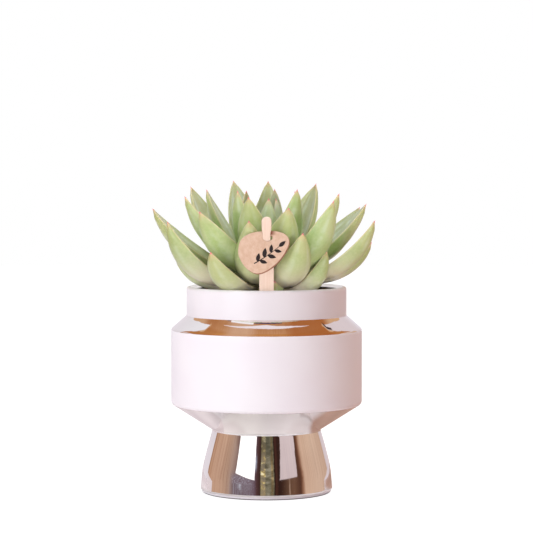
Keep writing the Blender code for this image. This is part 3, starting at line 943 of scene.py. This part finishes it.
def make_floor():
    """A pale floor, white to the camera, that keeps a faint share of the object's shadow."""
    t, where = new_material("floor")
    x, y, _ = where.axes()
    azimuth, distance = compass(x, y), where.radius()
    side = azimuth.within(50, 140, 50) * distance.fade(0.04, 0.1)
    pale = t.mix(side, (238, 230, 228), (178, 128, 104))
    # Mirrors see three parts: front, back left and a browner back right, which is the pot's painted
    # shadow. The front is painted brighter round the foot, against the real shadow there, and darker
    # to both sides, with a dark line painted at the right.
    line = x.within(0.052, 0.061, 0.005) * y.within(-0.03, 0.008, 0.008)
    front = t.paint(
        (228, 229, 232), (x.fade(0.02, -0.05), (242, 242, 242)),
        (distance.fade(0.064, 0.046, 0, 0.9), (255, 252, 255)),
        (abs(x).fade(0.06, 0.082, 0, 0.45), (206, 198, 200)), (line * 0.4, (150, 130, 126)))
    left = t.mix(distance.fade(0.055, 0.11), (236, 229, 231), (208, 199, 202))
    right = t.mix(distance.fade(0.05, 0.1), (202, 171, 156), (180, 150, 136))
    mirrored = t.paint(front, (azimuth.fade(88, 112) * azimuth.fade(171, 165), right),
                       (azimuth.within(-175, -96, 6), left))
    colour = t.paint(pale, (t.ray("Glossy"), mirrored), (t.ray("Camera"), (0.25, 0.25, 0.25, 1)))
    lit = t.value("BsdfDiffuse", {"Color": colour})
    table = t.value("AddShader", {0: lit, 1: t.glow(WHITE, t.ray("Camera") * 0.9)})
    # Mirrors that look along the floor see past it, as past the edge of a small table.
    facing = t.value("LayerWeight", {"Blend": 0.5}, "Facing")
    past = t.ray("Glossy") * facing.fade(0.915, 0.93)
    finish = t.end(t.blend(past, table, t.value("BsdfTransparent")))
    half = FLOOR_SIZE / 2
    corners = ((-half, -half, 0), (half, -half, 0), (half, half, 0), (-half, half, 0))
    stage_mesh("floor", corners, [(0, 1, 2, 3)], finish)


def middle_strip(t, azimuth, row, patch):
    """The gold and olive strip in the middle: patches down its left, a mottled line right."""
    gold = t.ramp(patch, (0.3, (120, 114, 98)), (0.47, (152, 138, 114)), (0.55, (160, 140, 94)),
                  (0.6, (240, 220, 150)), (0.68, (252, 242, 206)))
    dim = t.ramp(patch, (0.3, (80, 74, 60)), (0.5, (126, 120, 100)), (0.62, (156, 150, 130)))
    line = t.ramp(patch, (0.35, (84, 76, 58)), (0.5, (124, 108, 78)), (0.62, (176, 156, 112)))
    strip = t.paint(
        dim, (azimuth.within(7.6, 11.6, 1.8), line), (azimuth.within(-10, -2.2, 1.4), gold),
        (row.fade(24, 31, 0, 0.55), (56, 58, 44)))
    return azimuth.within(-10.4, 12.8, 0.8), strip


def left_glitter(t, azimuth, row, patch):
    """Below the left window: a darker room, a bluish glitter and two glints."""
    spot = t.point(azimuth * 0.5, row * 1.3)
    grain = spot.noise(0.9, 5, 0.8)
    lilac = t.paint(
        (124, 108, 118), (grain.fade(0.46, 0.72), (210, 213, 232)),
        (row.fade(10, 3, 0, 0.35), (92, 76, 82)),
        (spot.cells(1.1).fade(0.16, 0.06), (232, 236, 250)))
    glow = azimuth.within(-68, -56, 10) * row.fade(30, 20)
    haze = azimuth.within(-62, -24, 14) * row.fade(17, 12)
    slant = row + azimuth.line(-54, -40, -2, 2)
    glint = azimuth.within(-52, -43, 6) * slant.within(4.9, 6, 2.4)
    shine = azimuth.within(-22, -18, 4) * row.within(18.5, 25, 6)
    return ((glow * 0.4, (190, 168, 158)), (haze * 0.85, lilac),
            (glint * patch.fade(0.35, 0.55, 0.5, 1), (232, 240, 255)),
            (shine * 0.6, (208, 222, 246)))


def foot_mirror():
    """Heights on the surround, mm, each with the height on the foot where the camera sees it."""
    foot = np.array([p for p in filleted(OUTSIDE)[::-1] if FOOT_LOW < p[1] < FOOT_HIGH])
    middle, step = (foot[1:] + foot[:-1]) / 2, np.diff(foot, axis=0)
    normal = unit(np.stack([step[:, 1], -step[:, 0]], 1))
    eye = unit(np.array([-CAMERA_PLACE[1], CAMERA_PLACE[2]]) / MM - middle)
    way = 2 * (normal * eye).sum(1, keepdims=True) * normal - eye
    height = middle[:, 1] + way[:, 1] / way[:, 0] * (SURROUND_R - middle[:, 0])
    return list(zip(height, middle[:, 1]))


def make_surround():
    """Dim panels, curtains and two windows round the front, which only mirrors show."""
    t, where = new_material("surround")
    x, y, z = where.axes()
    azimuth, height = compass(x, y), z * 1000
    # Height read as millimetres up the foot in which it is mirrored.
    rows = foot_mirror()
    low, high = rows[0][0], rows[-1][0]
    stops = [((h - low) / (high - low), (*[up / ROW_LIMIT] * 3, 1)) for h, up in rows]
    row = t.ramp(height.line(low, high), *stops) * ROW_LIMIT
    sway = t.point(azimuth * 0.2, row * 0.35).noise(1, 3, 0.6)
    swayed = azimuth + (sway - 0.5) * 3
    fibre = t.point(azimuth * 0.55, row * 0.03).noise(1, 3, 0.6)
    patch = t.point(azimuth * 0.06, row * 0.42).noise(1, 2, 0.6)
    bands = (((a - BANDS_START) / (BANDS_END - BANDS_START), c) for a, c in SURROUND_BANDS)
    panels = t.ramp(swayed.line(BANDS_START, BANDS_END), *bands)
    pale = fibre.fade(0.35, 0.65, 0, 0.28) * (1 - swayed.within(-64, 66, 6))
    leg = swayed.within(38.4, 40.6, 1.6) * row.fade(14, 5.5, 0.3, 0.7)
    # Two windows: a bright one on the left, a dimmer one on the right that leans.
    left_sill = azimuth.line(-55, -21, 88, 50)
    left = azimuth.within(-55, -20.5, 1.2) * (height - left_sill).fade(-6, 3)
    right_sill = azimuth.line(27, 58, 52, 62)
    leaning = azimuth + row.line(34, 10, 0, 6)
    right = leaning.within(28, 59, 1.2) * (height - right_sill).fade(-3, 3)
    # Both ends run out in a pale border that turns in near the foot's lower edge.
    cut = row.fade(3.25, 2.75, 0, 34)
    ends = t.math("MAXIMUM", (swayed - cut).fade(-124, -125.5),
                  (swayed + cut).fade(135.5, 137))
    colour = t.paint(
        panels, (pale, (236, 206, 182)), (fibre.fade(0.5, 0.25, 0, 0.22), (96, 58, 40)),
        middle_strip(t, swayed, row, patch), *left_glitter(t, azimuth, row, patch),
        (leg, (186, 156, 136)),
        (right, t.mix(fibre.fade(0.3, 0.7), (214, 198, 202), (226, 210, 210))),
        (left, WHITE), (ends, (230, 218, 222)))
    finish = t.end(t.glow(colour, left * 0.5 + 1))
    azimuths = np.linspace(-125, 137, 132)
    verts = [by_compass(SURROUND_R, a, h) for h in (SURROUND_LOW, SURROUND_TOP) for a in azimuths]
    stage_mesh("surround", verts, grid_faces(2, len(azimuths), False), finish, True)


def make_rim_card():
    """A caramel card close under the leaves, which only the silver shoulder shows."""
    t, where = new_material("rim_card")
    x, y, _ = where.axes()
    azimuth, radius = compass(x, y), where.radius(1000)
    turn = abs(azimuth)
    grain = t.point(azimuth * 0.9, radius * 0.12).noise(1, 3, 0.6)
    card = t.ramp(radius.line(50, 62), (0, (190, 138, 96)), (0.3, (190, 136, 94)),
                  (0.6, (200, 148, 106)), (0.8, (192, 132, 82)), (0.95, (200, 140, 84)))
    # A pale lens in front, and a navy line with a bright gap along the card's inner edge.
    lens = (turn.fade(0, 43, 53.9, 54.2) - radius).fade(-0.12, 0.12)
    lens = lens * (radius - turn.line(0, 43, 51.5, 54.1)).fade(-0.12, 0.12)
    navy = t.math("MAXIMUM", azimuth.within(-12, 15, 0.8), azimuth.within(-41, -36.5, 0.8))
    bright = azimuth.within(-36, -12.5, 0.8) * radius.fade(51.5, 51.2)
    # At both sides a pale wedge parts the card, with a dark sliver along its right one.
    first = turn.line(62, 82, 56.8, 59.9) + turn.line(82, 99, 0, 6.1)
    last = turn.line(60, 64, 56.3, 61) + turn.line(64, 82, 0, 7.5) \
        + turn.fade(82, 106, 0, 30)
    over = radius - last
    light = over.within(-0.6, 1.4, 1.2) * turn.within(59, 70, 3) * 0.6
    light = t.math("MAXIMUM", light, turn.fade(62, 76, 0, 0.45) * over.fade(0.2, -0.2))
    sliver = azimuth.within(60.5, 70, 1.5) * over.within(-2.4, -0.3, 0.5)
    wedge = (radius - first).fade(-0.2, 0.2) * over.fade(0.2, -0.2) * (1 - sliver)
    colour = t.paint(
        card, (grain.fade(0.35, 0.7, 0, 0.4), (168, 106, 62)),
        (turn.fade(40, 60, 0, 0.5), (176, 112, 68)),
        (azimuth.within(20, 68, 14) * 0.75, (172, 100, 50)),
        (azimuth.within(-36, -12, 14) * 0.5, (224, 190, 164)),
        (lens * turn.fade(43.5, 42), (244, 234, 240)),
        (navy * radius.fade(50.95, 50.75), (70, 66, 100)), (bright, (250, 248, 252)),
        (light, (236, 204, 166)), (sliver, (62, 44, 48)))
    from_below = t.value("NewGeometry", output="Backfacing")
    clear = t.value("BsdfTransparent")
    finish = t.end(t.blend(from_below * (1 - wedge), clear, t.glow(colour)))
    azimuths = np.arange(-180, 180)
    reach = np.interp(abs(azimuths), *zip(*RIM_CARD_REACH))
    verts = [by_compass(r, a, RIM_CARD_Z) for r, a in zip(reach, azimuths)]
    verts += [by_compass(RIM_CARD_R, a, RIM_CARD_Z) for a in azimuths]
    stage_mesh("rim_card", verts, grid_faces(2, len(azimuths)), finish, True)


def make_world():
    """White to the camera, pale to mirrors, and soft light on the object."""
    scene.world = bpy.data.worlds.new("studio")
    t = Tree(scene.world)
    x, y, z = t.place("Generated").axes()
    azimuth = compass(x, y)
    # Little light comes from the tan front right, and more from the back right.
    warm = azimuth.within(46, 118, 30) * z.fade(0.75, 0.4)
    soft = t.paint((0.48, 0.475, 0.49, 1), (warm, (0.3, 0.07, 0, 1)),
                   (azimuth.within(130, 176, 14), (2.8, 2.66, 2.7, 1)))
    mirrored = t.paint((232, 225, 232), (z.fade(-0.1, 0.7), (244, 244, 250)),
                       (azimuth.within(110, 165, 20), (222, 209, 213)))
    seen = t.paint(soft, (t.ray("Glossy"), mirrored), (t.ray("Camera"), WHITE))
    t.end(t.value("Background", {"Color": seen}), "World")


PLANT_NAMES = ("skin_leaf", "heart_leaf", "stick", "tag")  # how the lit plant's pieces start
KEY_PLACE = (-0.85, -1.05, 0.6)
POT_MIDDLE = (0, 0, 0.1)
PLANT_MIDDLE = (0, 0, 0.16)
# The plant's lamps as (name, size, place, power).
STRIPS = (("left_strip", (0.35, 0.7), (-0.85, -1.05, 0.22), 4.15),
          ("right_strip", (0.35, 0.7), (0.95, -1, 0.15), 4.7),
          ("low_strip", (1.4, 0.12), (0.2, -1.35, 0.03), 4.4))
CAMERA_PLACE = (0, -1.39415, 0.20689)
CAMERA_DOWN = 2.69  # degrees that it looks down
CAMERA_LENS = 150.461764  # mm, on a sensor 36 mm wide


def softbox(name, size, place, target, power, colour=(1, 1, 1)):
    light = bpy.data.lights.new(name, "AREA")
    light.shape = "RECTANGLE"
    light.size, light.size_y = size
    light.energy = power
    light.color = colour
    obj = new_object(name, light)
    obj.location = place
    obj.rotation_euler = (Vector(target) - Vector(place)).to_track_quat("-Z", "Y").to_euler()
    obj.visible_camera = False
    return obj


def group(name, objects):
    """A collection for light linking."""
    made = bpy.data.collections.new(name)
    for obj in objects:
        made.objects.link(obj)
    return made


def make_lights():
    """Soft lamps: a key from the left for the pot, strips for the plant, and one from above."""
    shown = [obj for obj in scene.objects if obj.type == "MESH"]
    plant = group("plant", [obj for obj in shown if obj.name.startswith(PLANT_NAMES)])
    rest = group("pot_and_floor", [obj for obj in shown if not obj.name.startswith(PLANT_NAMES)])
    key = softbox("key", (0.9, 0.9), KEY_PLACE, POT_MIDDLE, 8.95, (0.94, 0.98, 1))
    key.light_linking.receiver_collection = rest
    key.visible_glossy = False
    softbox("top", (0.4, 0.6), (0, -0.15, 1.1), POT_MIDDLE, 4.5)
    for name, size, place, power in STRIPS:
        lamp = softbox(name, size, place, PLANT_MIDDLE, power)
        lamp.light_linking.receiver_collection = plant
        lamp.light_linking.blocker_collection = plant  # the pale rim passes this light on
    # The light that the pale rim passes round under the leaves.
    rim = new_object("rim", bpy.data.lights.new("rim", "POINT"))
    rim.data.energy, rim.data.shadow_soft_size = 0.07, 5 * MM
    rim.location = (0, 0, 0.134)
    rim.visible_camera = rim.visible_glossy = False
    body = group("pot_only", [bpy.data.objects["pot_body"]])
    rim.light_linking.receiver_collection = rim.light_linking.blocker_collection = body


def make_camera():
    """The photograph's view: far away, a little above the pot, looking slightly down."""
    camera = bpy.data.cameras.new("camera")
    camera.sensor_width = 36
    camera.lens = CAMERA_LENS
    camera.clip_start, camera.clip_end = 0.05, 20
    obj = new_object("camera", camera)
    obj.location = CAMERA_PLACE
    obj.rotation_euler = (radians(90 - CAMERA_DOWN), 0, 0)
    scene.camera = obj


def main():
    leaf = leaf_skin()
    make_leaves(leaf)
    make_heart(leaf)
    make_cover_pot(white_glaze(), silver_glaze())
    make_soil(crumbs("peat", (52, 34, 26), (86, 60, 44)),
              crumbs("bark_bits", (72, 48, 36), (118, 82, 58)))
    stand = make_stick(raw_birch())
    make_tag(stand, kraft_board(), print_ink())
    for name, finish in (("grow_pot", dark_plastic()), ("crown", crown_bark())):
        nodes[name].data.materials.clear()
        nodes[name].data.materials.append(finish)
    make_floor()
    make_world()
    make_surround()
    make_rim_card()
    make_lights()
    make_camera()
    scene.view_settings.view_transform = "Standard"


main()
